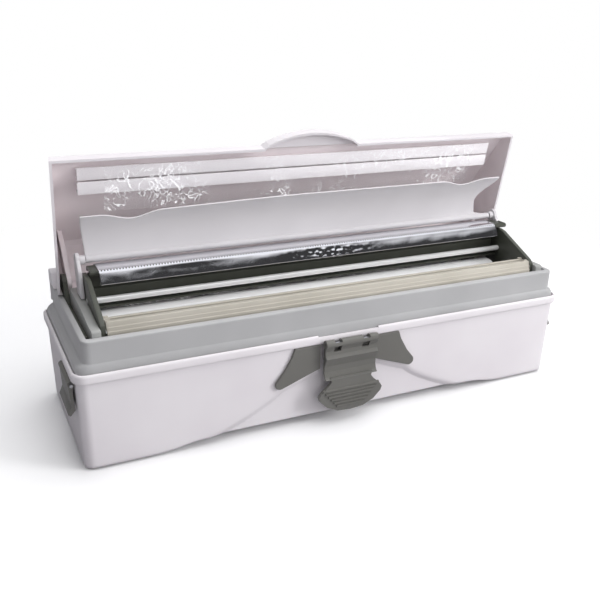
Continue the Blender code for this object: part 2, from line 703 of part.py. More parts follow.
def make_flap(look):
    """Divider between foil and film: a bowed blade on a knuckle, scalloped at its top corners."""
    middle = flap_middle()
    flap = prism("divider_flap", look, "X", strip(middle, FLAP_T), -FLAP_HALF, FLAP_HALF,
                 (0.0, *FLAP_AXIS))
    knuckle = prism("knuckle", look, "X", circle(FLAP_AXIS, 3.2, 20), -FLAP_HALF, FLAP_HALF)
    boolean(flap, [knuckle], "UNION")
    scallops = [hole(look, "Y", (side * 196.0, middle[-1][1] + 24.0), 27.0, -30.0, 40.0, 40)
                for side in (-1, 1)]
    bore = hole(look, "X", FLAP_AXIS, 1.5 + GAP / 2, -FLAP_HALF - 1.0, FLAP_HALF + 1.0, 16)
    return boolean(flap, scallops + [bore], "DIFFERENCE")


def make_flap_rod(look):
    """Thin steel rod through the flap's knuckle."""
    return prism("flap_rod", look, "X", circle(FLAP_AXIS, 1.5, 16), -235.0, 235.0)


def make_flap_bracket(side, look):
    """Upright on the cheek's back that carries the flap's rod."""
    low, high = sorted((side * (SPAN + 0.2), side * 236.0))
    outline = [(4.3, 110.0), (12.0, 110.0), (14.0, 150.0), (13.5, 164.0), (10.5, 168.0), (4.6, 165.0),
               (4.6, 158.0), (7.2, 156.4), (7.2, 149.0), (4.3, 148.6)]
    name = "flap_bracket_" + ("right" if side > 0 else "left")
    bracket = prism(name, look, "X", outline, low, high, smooth=False)
    bore = hole(look, "X", FLAP_AXIS, 1.5 + GAP / 2, low - 1.0, high + 1.0, 16)
    return boolean(bracket, [bore], "DIFFERENCE")


# ---- rear housing --------------------------------------------------------
def make_rear_housing(look):
    """White cover along the back of the collar, slanted where the open lid rests on it."""
    out_y = HALF_Y - 2.2
    outline = [(57.4, LID_RIM_Z), (68.0, 131.0), (out_y - 2.0, 131.0), (out_y, 129.0),
               (out_y, BEAD_Z + GAP), (COLLAR_Y + GAP, BEAD_Z + GAP), (COLLAR_Y + GAP, LID_RIM_Z)]
    housing = prism("rear_housing", look, "X", outline, -LID_X, LID_X, smooth=False)
    hollow = prism("hollow", look, "X", [(60.6, 110.0), (60.6, LID_RIM_Z + 1.0), (69.2, 128.6), (80.0, 128.6),
                                         (80.0, 110.0)], -LID_X + 2.5, LID_X - 2.5)
    return boolean(housing, [hollow], "DIFFERENCE")


# ---- latch on the front --------------------------------------------------
def make_wing(side, look):
    """Flat wing beside the latch, fixed to the front wall."""
    half = [(30.5, 79.8), (57.8, 79.8), (61.0, 71.0), (69.0, 57.5)]
    half += arc((72.6, 45.0), 5.2, 35.0, -110.0, 8) + [(30.5, 54.6)]
    outline = [(LATCH_X + side * x, z) for x, z in half]
    wall_y = -TUB_TOP_Y - GAP
    name = "latch_wing_" + ("right" if side > 0 else "left")
    wing = prism(name, look, "Y", outline, wall_y - 2.6, wall_y)
    return soften(wing, 0.7)


def make_latch_bracket(look):
    """Back plate in the scoop with the two knuckles of the latch."""
    back = -TUB_TOP_Y + SCOOP_DEPTH - GAP
    plate = block("latch_bracket", look, (LATCH_X - 24.0, back - 2.2, 60.0), (LATCH_X + 24.0, back - 0.4, 72.0))
    knuckles = []
    for offset in (-19.0, 12.0):
        outline = [(back - 1.6, 62.0), (back - 1.6, 71.0), (-86.4, 76.0)]
        outline += arc(LATCH_AXIS, 3.4, 150.0, 300.0, 8)
        knuckles.append(prism("knuckle", look, "X", outline, LATCH_X + offset, LATCH_X + offset + 7.0))
    boolean(plate, knuckles, "UNION")
    bore = hole(look, "X", LATCH_AXIS, 1.5 + GAP / 2, LATCH_X - 30.0, LATCH_X + 30.0, 16)
    return boolean(plate, [bore], "DIFFERENCE")


def lever_section():
    """Side outline of the lever: round head, hollow, ridge, second hollow, step."""
    front = [(-95.4, 78.0), (-93.6, 74.0), (-94.4, 70.0), (-96.8, 67.0), (-95.4, 64.0), (-92.8, 58.0),
             (-92.6, 52.0), (-94.6, 47.0), (-97.0, 44.6)]
    back = [(-94.0, 44.0), (-90.4, 50.0), (-90.0, 60.0), (-91.4, 66.0), (-90.8, 72.0), (-90.4, 76.0)]
    head = arc(LATCH_AXIS, 4.3, -70.0, 200.0, 16)
    return head + front + back


def grip_outline():
    """Fan-shaped grip seen from the front."""
    half = [(0.0, 8.4), (14.0, 9.6), (26.0, 15.0), (34.0, 23.0), (35.4, 27.0), (33.0, 31.0), (25.0, 38.0),
            (22.0, 42.0), (23.5, 47.0), (0.0, 47.0)]
    right = [(LATCH_X + x, z) for x, z in half]
    left = [(LATCH_X - x, z) for x, z in half[-2:0:-1]]
    return right + left


def make_latch(look):
    """Latch lever: bent plate with a fan-shaped, ribbed grip."""
    origin = (LATCH_X, *LATCH_AXIS)
    lever = prism("latch_lever", look, "X", lever_section(), LATCH_X - LATCH_HALF, LATCH_X + LATCH_HALF, origin)
    grip = prism("grip", look, "Y", grip_outline(), -96.6, -93.0)
    ribs = []
    for index in range(6):
        z = 14.0 + index * 3.6
        half = 16.0 + index * 3.0
        ribs.append(prism("rib", look, "X", [(-96.0, z), (-98.2, z + 0.8), (-98.2, z + 1.8), (-96.0, z + 2.6)],
                          LATCH_X - half, LATCH_X + half))
    boolean(lever, [grip], "UNION")
    boolean(lever, ribs, "UNION")
    slots = [block("slot", look, (LATCH_X + low - GAP, -96.5, 73.0), (LATCH_X + low + 7.0 + GAP, -80.0, 90.0))
             for low in (-19.0, 12.0)]
    bore = hole(look, "X", LATCH_AXIS, 1.5 + GAP / 2, LATCH_X - 40.0, LATCH_X + 40.0, 16)
    return boolean(lever, slots + [bore], "DIFFERENCE")


def make_latch_pin(look):
    return prism("latch_pin", look, "X", circle(LATCH_AXIS, 1.5, 16), LATCH_X - 28.0, LATCH_X + 28.0)


# ---- clips on the two ends -----------------------------------------------
def make_clip(side, look):
    """Side clip: a bent lever hung on a pin under the tub's lip."""
    outline = [(side * (CLIP_AXIS[0] - 2.2), 52.0), (side * (CLIP_AXIS[0] + 2.2), 47.0),
               (side * (CLIP_AXIS[0] + 4.2), 48.5), (side * (CLIP_AXIS[0] + 1.0), 56.0),
               (side * (CLIP_AXIS[0] + 1.8), 70.0)]
    outline += [(side * x, z) for x, z in arc(CLIP_AXIS, 2.9, -40.0, 220.0, 12)]
    outline += [(side * (CLIP_AXIS[0] - 1.2), 68.0)]
    name = "side_clip_" + ("right" if side > 0 else "left")
    clip = prism(name, look, "Y", outline, *CLIP_Y, (side * CLIP_AXIS[0], CLIP_Y[0], CLIP_AXIS[1]))
    bore = hole(look, "Y", (side * CLIP_AXIS[0], CLIP_AXIS[1]), 1.5 + GAP / 2, CLIP_Y[0] - 1.0,
                CLIP_Y[1] + 1.0, 16)
    return boolean(clip, [bore], "DIFFERENCE")


def make_clip_pin(side, look):
    name = "clip_pin_" + ("right" if side > 0 else "left")
    centre = (side * CLIP_AXIS[0], CLIP_AXIS[1])
    return prism(name, look, "Y", circle(centre, 1.5, 16), CLIP_Y[0] - 3.4, CLIP_Y[1] + 3.4)


# ---- assembly ------------------------------------------------------------
def hang_on(parent_name, place, turn, children):
    """Parent the children to an empty on a joint's axis, and turn the empty."""
    empty = bpy.data.objects.new(parent_name, None)
    bpy.context.collection.objects.link(empty)
    empty.location = (Vector(place) + Vector(ZERO)) * MM
    empty.rotation_euler.x = math.radians(turn)
    for child in children:
        child.location = child.location - empty.location
        child.parent = empty


def build():
    clear_scene()
    white = material("white_plastic", (0.91, 0.90, 0.91), 0.35)
    pale = material("light_grey_plastic", (0.72, 0.72, 0.72), 0.4)
    grey = material("mid_grey_plastic", (0.52, 0.53, 0.51), 0.45)
    dark = material("dark_grey_plastic", (0.29, 0.30, 0.27), 0.4)
    cream = material("cream_plastic", (0.79, 0.77, 0.71), 0.4)
    latch_grey = material("latch_grey_plastic", (0.45, 0.46, 0.44), 0.5)
    chrome = material("chromed_steel", (0.86, 0.86, 0.88), 0.08, 1.0)
    steel = material("stainless_steel", (0.68, 0.68, 0.70), 0.28, 1.0)
    foil = material("aluminium_foil", (0.88, 0.88, 0.90), 0.15, 1.0)
    film = material("cling_film", (0.90, 0.93, 0.95), 0.1, 0.0, 0.45)
    card = material("cardboard", (0.62, 0.52, 0.40), 0.9)
    rubber = material("rubber", (0.12, 0.12, 0.12), 0.85)

    make_tub(white)
    make_feet(rubber)
    make_collar(pale)
    make_tray(pale)
    make_rear_housing(white)
    make_beam(grey, dark)
    make_blade_bed(dark)
    make_blade(steel)
    make_blade_clamp(grey)
    make_blade_screws(steel)
    make_guard(cream)
    make_guard_springs(steel)
    make_roll("foil", FOIL_AXIS, FOIL_R, card, foil)
    make_roll("film", FILM_AXIS, FILM_R, card, film)
    make_guide_rod(chrome)
    make_foil_tail(foil)
    make_flap(white)
    make_flap_rod(steel)
    make_latch_bracket(latch_grey)
    make_latch(latch_grey)
    make_latch_pin(steel)
    on_the_lid = [make_lid(white), make_press_bar("press_bar_front", -79.0, -67.0, white),
                  make_press_bar("press_bar_rear", -65.6, -53.0, white), make_film_tail(film)]
    for side, hand in ((-1, "left"), (1, "right")):
        make_cheek(side, grey)
        make_cheek_screw(side, steel)
        make_side_frame(side, dark)
        make_plug("foil_plug_" + hand, FOIL_AXIS, side, side * (CHEEK_IN + 6.5), dark)
        make_plug("film_plug_" + hand, FILM_AXIS, side, side * (FRAME_OUT - 0.3), dark)
        make_flap_bracket(side, white)
        make_wing(side, latch_grey)
        make_clip(side, latch_grey)
        make_clip_pin(side, steel)
        make_lid_pin(side, steel)
        on_the_lid.append(make_lid_arm(side, white))
    hang_on("lid_hinge_line", (0.0, *HINGE), -LID_OPEN, on_the_lid)


build()
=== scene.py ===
import math

import bmesh
import bpy
from mathutils import Matrix, Vector, noise


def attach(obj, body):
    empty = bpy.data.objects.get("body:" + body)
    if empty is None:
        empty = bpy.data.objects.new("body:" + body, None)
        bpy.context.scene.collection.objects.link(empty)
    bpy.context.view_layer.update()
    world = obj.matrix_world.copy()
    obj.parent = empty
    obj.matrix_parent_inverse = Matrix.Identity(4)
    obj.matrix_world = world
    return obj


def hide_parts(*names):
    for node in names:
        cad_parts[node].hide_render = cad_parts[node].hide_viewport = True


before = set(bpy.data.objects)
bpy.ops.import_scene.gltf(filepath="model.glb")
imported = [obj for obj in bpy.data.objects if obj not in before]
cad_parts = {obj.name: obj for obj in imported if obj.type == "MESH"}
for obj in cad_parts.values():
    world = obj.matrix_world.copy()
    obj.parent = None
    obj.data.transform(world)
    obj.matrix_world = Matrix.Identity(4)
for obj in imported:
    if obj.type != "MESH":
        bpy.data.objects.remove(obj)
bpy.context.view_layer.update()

# Lengths are in millimetres, counted from the middle of the tub. ZERO is where the frame holds that point.
MM = 0.001
ZERO = (0.0, 5.1, 6.0)

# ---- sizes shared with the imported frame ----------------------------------
WALL_X = 262.0
WALL_Y = 85.0
TUB_CORNER = 10.0
LIP_Z = 80.0
FLOOR_Z = -5.0
ARCH_RISE = 6.0
ARCH_HALF = 152.0
ARCH_END = 200.0
SCOOP_DEPTH = 4.0
CHANNEL_HALF = 31.0
SHOULDER = 71.0
SHOULDER_RUN = 84.0
LATCH_X = -3.0
NOTCH_HALF = 33.0
NOTCH_Z = 87.2
COLLAR_X = 254.75
COLLAR_Y = 82.5
FOIL_AXIS = (-12.0, 92.0)
FILM_AXIS = (48.0, 70.0)
ROD_AXIS = (-14.0, 127.0)
ROLL_MID = -2.0
ROLL_HALF = 223.0
FOIL_R = 23.0
FILM_R = 24.0
ROD_R = 3.0
ROD_HALF = 236.2
PLATE_ENDS = (231.5, 236.0)
BLOCK_ENDS = (236.3, 244.5)
UPRIGHT_ENDS = (236.4, 240.0)
BOSS_ENDS = (231.2, 236.4)
GUARD_HALF = 230.5
PRESS_BAR_ENDS = (-230.0, 231.0)
FLAP_AXIS = (8.0, 160.0)
FLAP_SPAN = 47.0
FLAP_BOW = 6.3
FLAP_LEAN = math.radians(100.0)
FLAP_HALF = 230.6
HINGE = (41.0, 128.6)
LID_OPEN = math.radians(80.0)
NICK_GAP = 2.8
NICK_WIDE = 1.2
NICK_ROW = 59.5


# ---- node helpers --------------------------------------------------------
def linear(code):
    """An sRGB hex colour as the linear colour a shader takes."""
    channels = [int(code[start:start + 2], 16) / 255 for start in (1, 3, 5)]
    return tuple(c / 12.92 if c <= 0.04045 else ((c + 0.055) / 1.055) ** 2.4 for c in channels) + (1.0,)


def add(tree, kind, settings=(), links=()):
    """Add a node: lower-case names are its settings, other names and numbers its sockets."""
    node = tree.nodes.new(kind)
    for key, value in dict(settings).items():
        if isinstance(key, str) and key[0].islower():
            setattr(node, key, value)
        else:
            node.inputs[key].default_value = value
    for key, source in dict(links).items():
        tree.links.new(source, node.inputs[key])
    return node


def per_mm(size):
    """The scale that gives a pattern features of this many millimetres."""
    return 1.0 / (size * MM)


def start(name):
    made = bpy.data.materials.new(name)
    made.use_nodes = True
    return made, made.node_tree, made.node_tree.nodes["Principled BSDF"]


def mixed(tree, first, second, factor):
    """The blend of two hex colours by a factor socket."""
    return add(tree, "ShaderNodeMix", {"data_type": "RGBA", 6: linear(first), 7: linear(second)},
               {0: factor}).outputs[2]


def ranged(tree, value, low, high, start_at=0.3, stop_at=0.7):
    """A socket's value stretched from one range to another."""
    return add(tree, "ShaderNodeMapRange", {1: start_at, 2: stop_at, 3: low, 4: high}, {0: value}).outputs[0]


def moulded(name, light, dark, roughness, texture_mm, depth_mm, glow=0.0):
    """Moulded plastic: even colour with a faint drift of tone, a fine texture, and light let in by glow."""
    made, tree, shader = start(name)
    place = add(tree, "ShaderNodeTexCoord").outputs["Object"]
    drift = add(tree, "ShaderNodeTexNoise", {"Scale": per_mm(70.0), "Detail": 2.0}, {"Vector": place})
    tone = mixed(tree, light, dark, ranged(tree, drift.outputs[0], 0.0, 1.0))
    tree.links.new(tone, shader.inputs["Base Color"])
    grain = add(tree, "ShaderNodeTexNoise", {"Scale": per_mm(texture_mm), "Detail": 3.0}, {"Vector": place})
    tree.links.new(ranged(tree, grain.outputs[0], roughness - 0.05, roughness + 0.07),
                   shader.inputs["Roughness"])
    bump = add(tree, "ShaderNodeBump", {"Strength": 0.35, "Distance": depth_mm * MM},
               {"Height": grain.outputs[0]})
    tree.links.new(bump.outputs[0], shader.inputs["Normal"])
    shader.inputs["IOR"].default_value = 1.5
    shader.inputs["Subsurface Weight"].default_value = glow
    shader.inputs["Subsurface Radius"].default_value = (0.004, 0.004, 0.004)
    return made


# ABS for the tub, the lid and the housing: bright, slightly warm white with a soft gloss
white_abs = moulded("moulded_white_abs", "#E6E2E5", "#E0DBDF", 0.36, 1.1, 0.02)
# polypropylene for the flap: a little greyer than the tub and more even
white_pp = moulded("moulded_white_polypropylene", "#D3D0D3", "#CCC9CC", 0.34, 1.4, 0.015)
# ABS for the inside of the lid and its arms: a pinker and more matt white, made paler than the outside as
# painted light against the shade inside the lid
lid_inside_abs_painted_light = moulded("white_abs_painted_light_inside_lid", "#F6EEF0", "#F0E6E8", 0.5, 0.9, 0.03)
# press bars: a brighter white than the lid around them, painted light that lifts them out of the shade
# inside the lid
bar_abs = moulded("bright_white_abs_painted_light", "#FBF8FA", "#F6F2F5", 0.3, 1.2, 0.015)
# light grey ABS for the collar and the roll tray: neutral grey, satin
collar_abs = moulded("moulded_light_grey_abs", "#B0B0B1", "#A8A8A9", 0.38, 1.0, 0.02)
# mid grey ABS for the clamp over the blade, with a green cast and a coarser texture
cassette_abs = moulded("moulded_green_grey_abs", "#81847E", "#777A74", 0.42, 0.8, 0.03)
# lighter grey ABS for the flat tops at the two ends
block_abs = moulded("moulded_pale_grey_abs", "#9FA09E", "#969795", 0.4, 0.9, 0.02)
# dark olive nylon for the beam, its rail, the blade's bed, the plates and the plugs
olive_nylon = moulded("moulded_olive_nylon", "#4D4F48", "#44463F", 0.34, 0.8, 0.02)
# natural acetal for the guard: creamy, slightly see-through, with soft edges of light
cream_acetal = moulded("moulded_cream_acetal", "#BBB6AC", "#B1ACA1", 0.33, 1.2, 0.015, 0.12)
# glass-filled nylon for the latch and clips: grey-green and matt
latch_nylon = moulded("moulded_latch_nylon", "#706F6B", "#696864", 0.38, 0.7, 0.04)
# black rubber for the feet: matt, with a dusty bloom
foot_rubber = moulded("pressed_black_rubber", "#242424", "#2E2D2C", 0.8, 0.5, 0.05)


def bare_metal(name, code, roughness, grain_mm, stretch, depth_mm, metallic=1.0):
    """Metal with fine lines drawn out along X by rolling, grinding or drawing."""
    made, tree, shader = start(name)
    place = add(tree, "ShaderNodeTexCoord").outputs["Object"]
    along = add(tree, "ShaderNodeMapping", {"Scale": (1.0 / stretch, 1.0, 1.0)}, {"Vector": place})
    lines = add(tree, "ShaderNodeTexNoise", {"Scale": per_mm(grain_mm), "Detail": 3.0},
                {"Vector": along.outputs[0]})
    shader.inputs["Base Color"].default_value = linear(code)
    shader.inputs["Metallic"].default_value = metallic
    tree.links.new(ranged(tree, lines.outputs[0], roughness * 0.7, roughness * 1.4),
                   shader.inputs["Roughness"])
    bump = add(tree, "ShaderNodeBump", {"Strength": 0.4, "Distance": depth_mm * MM},
               {"Height": lines.outputs[0]})
    tree.links.new(bump.outputs[0], shader.inputs["Normal"])
    return made


# chromed steel rod: mostly a white gloss and only partly metallic, so that it stays bright
chrome = bare_metal("chromed_steel_rod", "#FFFFFF", 0.1, 1.5, 80.0, 0.0002, 0.3)
# ground stainless steel for the blade, its screws, the springs and the pins
stainless = bare_metal("ground_stainless_steel", "#B9BABD", 0.24, 0.5, 20.0, 0.01)
# foil wound on its roll: mostly a white gloss too, with long bands where layers lie unevenly
wound_foil = bare_metal("wound_aluminium_foil", "#FFFFFF", 0.22, 7.0, 40.0, 0.1, 0.15)


def make_loose_foil():
    """Household foil off the roll: mirror bright, creased, with a row of nicks where it was torn."""
    made, tree, shader = start("loose_aluminium_foil")
    uv = add(tree, "ShaderNodeUVMap", {"uv_map": "cut"}).outputs[0]
    creases = add(tree, "ShaderNodeTexNoise", {"Scale": per_mm(9.0), "Detail": 4.0, "Distortion": 0.8},
                  {"Vector": uv})
    parts = add(tree, "ShaderNodeSeparateXYZ", links={0: uv})
    # a row of nicks along the crest, counted from the end behind the beam
    beat = add(tree, "ShaderNodeMath", {"operation": "PINGPONG", 1: NICK_GAP / 2 * MM},
               {0: parts.outputs[0]})
    nick = add(tree, "ShaderNodeMath", {"operation": "LESS_THAN", 1: NICK_WIDE / 2 * MM},
               {0: beat.outputs[0]})
    line = add(tree, "ShaderNodeMath", {"operation": "COMPARE", 1: NICK_ROW * MM, 2: NICK_WIDE / 2 * MM},
               {0: parts.outputs[1]})
    spots = add(tree, "ShaderNodeMath", {"operation": "MULTIPLY"}, {0: nick.outputs[0], 1: line.outputs[0]})
    tree.links.new(mixed(tree, "#EDEDF1", "#3A3C3C", spots.outputs[0]), shader.inputs["Base Color"])
    shader.inputs["Metallic"].default_value = 1.0
    tree.links.new(ranged(tree, creases.outputs[0], 0.05, 0.16), shader.inputs["Roughness"])
    bump = add(tree, "ShaderNodeBump", {"Strength": 0.3, "Distance": 0.25 * MM},
               {"Height": creases.outputs[0]})
    tree.links.new(bump.outputs[0], shader.inputs["Normal"])
    return made


def make_clear_film(name, clear, milky, crease_mm):
    """Cling film: almost clear, with white glints where it is creased and stuck to itself."""
    made, tree, shader = start(name)
    place = add(tree, "ShaderNodeTexCoord").outputs["Object"]
    warp = add(tree, "ShaderNodeTexNoise", {"Scale": per_mm(crease_mm), "Detail": 2.0, "Distortion": 2.2},
               {"Vector": place})
    middle_of = add(tree, "ShaderNodeMath", {"operation": "SUBTRACT", 1: 0.5}, {0: warp.outputs[0]})
    line = add(tree, "ShaderNodeMath", {"operation": "ABSOLUTE"}, {0: middle_of.outputs[0]})
    patches = add(tree, "ShaderNodeTexNoise", {"Scale": per_mm(crease_mm * 3.0), "Detail": 1.0},
                  {"Vector": place})
    width = ranged(tree, patches.outputs[0], 0.002, 0.03, 0.42, 0.7)
    crease = add(tree, "ShaderNodeMath", {"operation": "LESS_THAN"},
                 {0: line.outputs[0], 1: width}).outputs[0]
    ridge = ranged(tree, crease, clear, milky, 0.0, 1.0)
    # the creases glow a little, in place of the glint of a lamp
    shader.inputs["Emission Color"].default_value = linear("#FFFFFF")
    tree.links.new(ranged(tree, crease, 0.0, 0.45, 0.0, 1.0), shader.inputs["Emission Strength"])
    shader.inputs["Base Color"].default_value = linear("#F4F5F7")
    shader.inputs["Roughness"].default_value = 0.08
    shader.inputs["Coat Weight"].default_value = 1.0
    shader.inputs["Coat Roughness"].default_value = 0.04
    tree.links.new(ridge, shader.inputs["Alpha"])
    bump = add(tree, "ShaderNodeBump", {"Strength": 0.8, "Distance": 0.6 * MM}, {"Height": warp.outputs[0]})
    tree.links.new(bump.outputs[0], shader.inputs["Normal"])
    tree.links.new(bump.outputs[0], shader.inputs["Coat Normal"])
    return made


def make_board():
    """Spiral-wound cardboard for the cores: brown paper with fibres."""
    made, tree, shader = start("spiral_wound_board")
    place = add(tree, "ShaderNodeTexCoord").outputs["Object"]
    fibre = add(tree, "ShaderNodeTexNoise", {"Scale": per_mm(1.2), "Detail": 6.0}, {"Vector": place})
    tree.links.new(mixed(tree, "#A88F6B", "#8D7453", ranged(tree, fibre.outputs[0], 0.0, 1.0)),
                   shader.inputs["Base Color"])
    shader.inputs["Roughness"].default_value = 0.88
    bump = add(tree, "ShaderNodeBump", {"Strength": 0.5, "Distance": 0.1 * MM}, {"Height": fibre.outputs[0]})
    tree.links.new(bump.outputs[0], shader.inputs["Normal"])
    return made


loose_foil = make_loose_foil()
loose_film = make_clear_film("loose_cling_film", 0.05, 0.75, 16.0)
wound_film = make_clear_film("wound_cling_film", 0.75, 0.95, 14.0)
board = make_board()


# ---- mesh helpers --------------------------------------------------------
def finish(bm, name, look, body, nodes=(), smooth=35.0):
    """Turn a bmesh in millimetres into a piece that rides on a body and stands for CAD nodes."""
    bmesh.ops.scale(bm, vec=(MM, MM, MM), verts=bm.verts)
    bmesh.ops.translate(bm, vec=Vector(ZERO) * MM, verts=bm.verts)
    mesh = bpy.data.meshes.new(name)
    bm.to_mesh(mesh)
    bm.free()
    mesh.materials.append(look)
    piece = bpy.data.objects.new(name, mesh)
    bpy.context.collection.objects.link(piece)
    mesh.shade_smooth()
    mesh.set_sharp_from_angle(angle=math.radians(smooth))
    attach(piece, body)
    if nodes:
        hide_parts(*nodes)
    return piece


def rounded(bm, edges, width, segments=3):
    return bmesh.ops.bevel(bm, geom=edges, offset=width, offset_type="OFFSET", affect="EDGES",
                           segments=segments, profile=0.5, material=-1, clamp_overlap=True)


def rounded_box(half_x, half_y, low, high, corner, segments=6):
    """A box with its four upright edges rounded."""
    bm = bmesh.new()
    bmesh.ops.create_cube(bm, size=2.0)
    bmesh.ops.scale(bm, vec=(half_x, half_y, (high - low) / 2), verts=bm.verts)
    bmesh.ops.translate(bm, vec=(0.0, 0.0, (high + low) / 2), verts=bm.verts)
    upright = [e for e in bm.edges if abs(e.verts[0].co.z - e.verts[1].co.z) > 1.0]
    rounded(bm, upright, corner, segments)
    return bm


def slice_at(bm, axis, places):
    """Cut every face along planes across one axis."""
    normal = Vector([1.0 if letter == axis else 0.0 for letter in "XYZ"])
    for place in places:
        everything = bm.verts[:] + bm.edges[:] + bm.faces[:]
        bmesh.ops.bisect_plane(bm, geom=everything, dist=0.001, plane_co=normal * place, plane_no=normal)


def outward(point, core_x, core_y):
    """Direction in plan from a rounded rectangle's inner core to a point of its wall."""
    near = Vector((min(max(point.x, -core_x), core_x), min(max(point.y, -core_y), core_y)))
    away = Vector((point.x, point.y)) - near
    return away.normalized() if away.length > 1e-6 else Vector((0.0, 0.0))


def rim_of(bm, height):
    """The open edges at a height."""
    return [e for e in bm.edges if e.is_boundary and all(abs(v.co.z - height) < 0.01 for v in e.verts)]


def grow(bm, edges, steps, core):
    """Extrude an open rim through (outward in X, outward in Y, height) steps, and return the last rim."""
    for out_x, out_y, height in steps:
        grown = bmesh.ops.extrude_edge_only(bm, edges=edges)["geom"]
        for vert in [item for item in grown if isinstance(item, bmesh.types.BMVert)]:
            away = outward(vert.co, *core)
            vert.co = Vector((vert.co.x + away.x * out_x, vert.co.y + away.y * out_y, height))
        edges = [item for item in grown if isinstance(item, bmesh.types.BMEdge)]
    return edges


def turned_place(axis, along, first, second):
    return {"X": (along, first, second), "Y": (first, along, second), "Z": (first, second, along)}[axis]


def arc(centre, radius, begin, end, steps):
    """Points on an arc, with the angles in degrees."""
    angles = [math.radians(begin + (end - begin) * step / steps) for step in range(steps + 1)]
    return [(centre[0] + radius * math.cos(a), centre[1] + radius * math.sin(a)) for a in angles]


def bar(bm, axis, outline, low, high, width=0.0, segments=2, sharper=25.0):
    """Extrude an outline along an axis and round its sharp edges."""
    face = bm.faces.new([bm.verts.new(turned_place(axis, low, *point)) for point in outline])
    swept = bmesh.ops.extrude_face_region(bm, geom=[face])["geom"]
    moved = [item for item in swept if isinstance(item, bmesh.types.BMVert)]
    bmesh.ops.translate(bm, vec=turned_place(axis, high - low, 0.0, 0.0), verts=moved)
    bmesh.ops.recalc_face_normals(bm, faces=bm.faces)
    if width:
        sharp = [e for e in bm.edges if e.is_manifold and e.calc_face_angle(0.0) > math.radians(sharper)]
        rounded(bm, sharp, width, segments)
    return bm


def cylinder(axis_yz, radius, low, high, sides=72, edge=0.0):
    """A smooth round bar along X with eased ends."""
    bm = bmesh.new()
    bmesh.ops.create_cone(bm, cap_ends=True, segments=sides, radius1=radius, radius2=radius,
                          depth=high - low)
    bmesh.ops.rotate(bm, cent=(0.0, 0.0, 0.0), matrix=Matrix.Rotation(math.pi / 2, 3, "Y"), verts=bm.verts)
    bmesh.ops.translate(bm, vec=((high + low) / 2, *axis_yz), verts=bm.verts)
    if edge:
        rounded(bm, [e for e in bm.edges if e.calc_face_angle(0.0) > math.radians(60.0)], edge)
    return bm


def ease(value):
    held = min(max(value, 0.0), 1.0)
    return held * held * (3.0 - 2.0 * held)


def steps_between(low, high, step):
    count = round((high - low) / step)
    return [low + (high - low) * index / count for index in range(count + 1)]


# ---- tub -----------------------------------------------------------------
def under_z(x):
    return FLOOR_Z + ARCH_RISE * ease((ARCH_END - abs(x)) / (ARCH_END - ARCH_HALF))


def scoop(x, z):
    """How deep the front wall is pressed in around and below the latch."""
    side = abs(x - LATCH_X)
    channel = ease((CHANNEL_HALF - side) / 3.0) * ease((LIP_Z - z) / 6.0)
    if side < SHOULDER:
        edge = 53.0 - 0.36 * max(side - CHANNEL_HALF, 0.0)
    else:
        edge = 38.6 - 40.0 * (min(side - SHOULDER, SHOULDER_RUN) / SHOULDER_RUN) ** 0.75
    return SCOOP_DEPTH * max(channel, ease((edge - z) / 8.0))


def make_tub():
    """Deep tray with drafted walls, an arched underside, a scooped front and a rolled lip."""
    bm = rounded_box(WALL_X, WALL_Y, FLOOR_Z, LIP_Z, TUB_CORNER)
    bmesh.ops.delete(bm, geom=[f for f in bm.faces if f.normal.z > 0.9], context="FACES")
    foot = [e for e in bm.edges if all(v.co.z < FLOOR_Z + 0.1 for v in e.verts)]
    rounded(bm, foot, 3.0)
    slice_at(bm, "X", steps_between(-200.0, 200.0, 4.0))
    beside_latch = (28.0, 29.5, CHANNEL_HALF, NOTCH_HALF, NOTCH_HALF + 0.3)
    slice_at(bm, "X", [LATCH_X + side * offset for side in (-1, 1) for offset in beside_latch])
    slice_at(bm, "Z", steps_between(0.0, 78.0, 3.0))
    for vert in bm.verts:
        share = (vert.co.z - FLOOR_Z) / (LIP_Z - FLOOR_Z)
        z = under_z(vert.co.x) + share * (LIP_Z - under_z(vert.co.x))
        slope = 1.0 - z / LIP_Z
        dent = scoop(vert.co.x, z) if vert.co.y < -WALL_Y + 4.0 else 0.0
        vert.co = Vector((vert.co.x * (1.0 - 2.0 * slope / WALL_X),
                          vert.co.y * (1.0 - slope / WALL_Y) + dent, z))
    core = (WALL_X - TUB_CORNER, WALL_Y - TUB_CORNER)
    # out over the wall, up and round the lip, then down inside it to the floor
    lip = [(2.2, 2.2, 80.3), (0.7, 0.7, 81.2), (0.1, 0.1, 82.2), (0.0, 0.0, 86.6), (-0.3, -0.3, 87.8),
           (-0.7, -0.7, 88.6), (-0.8, -0.8, 89.0), (-0.6, -0.6, 88.8), (-0.1, -0.1, 86.0),
           (-3.5, -3.5, 86.0), (-0.2, -0.2, 78.0), (-1.5, -1.5, 3.0), (-2.0, -2.0, 1.5)]
    inner = grow(bm, rim_of(bm, LIP_Z), lip, core)
    bmesh.ops.holes_fill(bm, edges=inner, sides=0)
    for vert in bm.verts:
        if abs(vert.co.x - LATCH_X) < NOTCH_HALF + 0.1 and vert.co.y < -80.0 and vert.co.z > NOTCH_Z:
            vert.co.z = NOTCH_Z
    bmesh.ops.recalc_face_normals(bm, faces=bm.faces)
    return finish(bm, "tub_shell", white_abs, "base", ["tub"])


